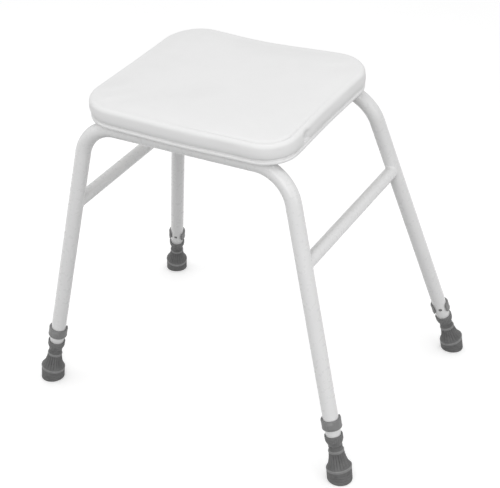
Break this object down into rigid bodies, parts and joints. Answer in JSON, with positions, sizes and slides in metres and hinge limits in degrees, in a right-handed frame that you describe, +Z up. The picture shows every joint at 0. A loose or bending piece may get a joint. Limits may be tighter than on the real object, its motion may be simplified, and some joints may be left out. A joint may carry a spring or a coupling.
{
  "type": "height-adjustable perching stool",
  "caption": "Perching stool with a padded vinyl seat sloping forward on splayed bent-tube legs, spring-clip height adjustment and rubber feet.",
  "frame": {"origin": "on the floor under the middle of the stool's box, at the lowest height setting", "axes": "+Z up; the stool faces -Y, the lower front edge of the seat; +X is across the stool, its widest side"},
  "size_m": [0.6588, 0.4858, 0.5939],
  "materials": {
    "white_powder_coat": "gloss white epoxy powder coat on steel tube",
    "white_vinyl": "white wipe-clean PVC upholstery, satin, fine leather grain",
    "seat_foam": "cut polyurethane foam",
    "plywood": "raw birch plywood, matte",
    "grey_rubber": "dark grey moulded rubber, matte",
    "grey_plastic": "dark grey moulded nylon, matte",
    "clip_grey": "grey moulded acetal, satin",
    "zinc_steel": "bright zinc plate, satin",
    "black_nylon": "black nylon, matte"
  },
  "bodies": {
    "frame": {"seat_cover": "white_vinyl", "seat_foam": "seat_foam", "seat_board": "plywood", "front_frame": "white_powder_coat", "rear_frame": "white_powder_coat", "left_brace": "white_powder_coat", "right_brace": "white_powder_coat", "front_left_end_collar": "grey_plastic", "front_left_seat_tab": "white_powder_coat", "front_left_seat_washer": "zinc_steel", "front_left_seat_screw": "zinc_steel", "front_left_tee_nut": "zinc_steel", "front_right_end_collar": "grey_plastic", "front_right_seat_tab": "white_powder_coat", "front_right_seat_washer": "zinc_steel", "front_right_seat_screw": "zinc_steel", "front_right_tee_nut": "zinc_steel", "rear_left_end_collar": "grey_plastic", "rear_left_seat_tab": "white_powder_coat", "rear_left_seat_washer": "zinc_steel", "rear_left_seat_screw": "zinc_steel", "rear_left_tee_nut": "zinc_steel", "rear_right_end_collar": "grey_plastic", "rear_right_seat_tab": "white_powder_coat", "rear_right_seat_washer": "zinc_steel", "rear_right_seat_screw": "zinc_steel", "rear_right_tee_nut": "zinc_steel"},
    "front_left_leg": {"front_left_leg_extension": "zinc_steel", "front_left_top_bush": "black_nylon", "front_left_ferrule": "grey_rubber", "front_left_ferrule_washer": "zinc_steel"},
    "front_left_clip_body": {"front_left_clip": "clip_grey"},
    "front_right_leg": {"front_right_leg_extension": "zinc_steel", "front_right_top_bush": "black_nylon", "front_right_ferrule": "grey_rubber", "front_right_ferrule_washer": "zinc_steel"},
    "front_right_clip_body": {"front_right_clip": "clip_grey"},
    "rear_left_leg": {"rear_left_leg_extension": "zinc_steel", "rear_left_top_bush": "black_nylon", "rear_left_ferrule": "grey_rubber", "rear_left_ferrule_washer": "zinc_steel"},
    "rear_left_clip_body": {"rear_left_clip": "clip_grey"},
    "rear_right_leg": {"rear_right_leg_extension": "zinc_steel", "rear_right_top_bush": "black_nylon", "rear_right_ferrule": "grey_rubber", "rear_right_ferrule_washer": "zinc_steel"},
    "rear_right_clip_body": {"rear_right_clip": "clip_grey"}
  },
  "joints": [
    {"name": "leg_extend_front_left", "type": "slide", "parent": "frame", "child": "front_left_leg", "axis": [-0.2135, -0.0311, -0.9764], "range_m": [0, 0.15]},
    {"name": "clip_pull_front_left", "type": "slide", "parent": "frame", "child": "front_left_clip_body", "axis": [0.333, -0.942, -0.0428], "range_m": [0, 0.04], "deforming": ["front_left_clip"]},
    {"name": "leg_extend_front_right", "type": "slide", "parent": "frame", "child": "front_right_leg", "axis": [0.2135, -0.0311, -0.9764], "range_m": [0, 0.15]},
    {"name": "clip_pull_front_right", "type": "slide", "parent": "frame", "child": "front_right_clip_body", "axis": [0.3219, -0.9414, 0.1004], "range_m": [0, 0.04], "deforming": ["front_right_clip"]},
    {"name": "leg_extend_rear_left", "type": "slide", "parent": "frame", "child": "rear_left_leg", "axis": [-0.2252, 0.2772, -0.934], "range_m": [0, 0.15]},
    {"name": "clip_pull_rear_left", "type": "slide", "parent": "frame", "child": "rear_left_clip_body", "axis": [-0.2826, 0.8989, 0.3349], "range_m": [0, 0.04], "deforming": ["rear_left_clip"]},
    {"name": "leg_extend_rear_right", "type": "slide", "parent": "frame", "child": "rear_right_leg", "axis": [0.2252, 0.2772, -0.934], "range_m": [0, 0.15]},
    {"name": "clip_pull_rear_right", "type": "slide", "parent": "frame", "child": "rear_right_clip_body", "axis": [-0.39, 0.9042, 0.1743], "range_m": [0, 0.04], "deforming": ["rear_right_clip"]}
  ]
}
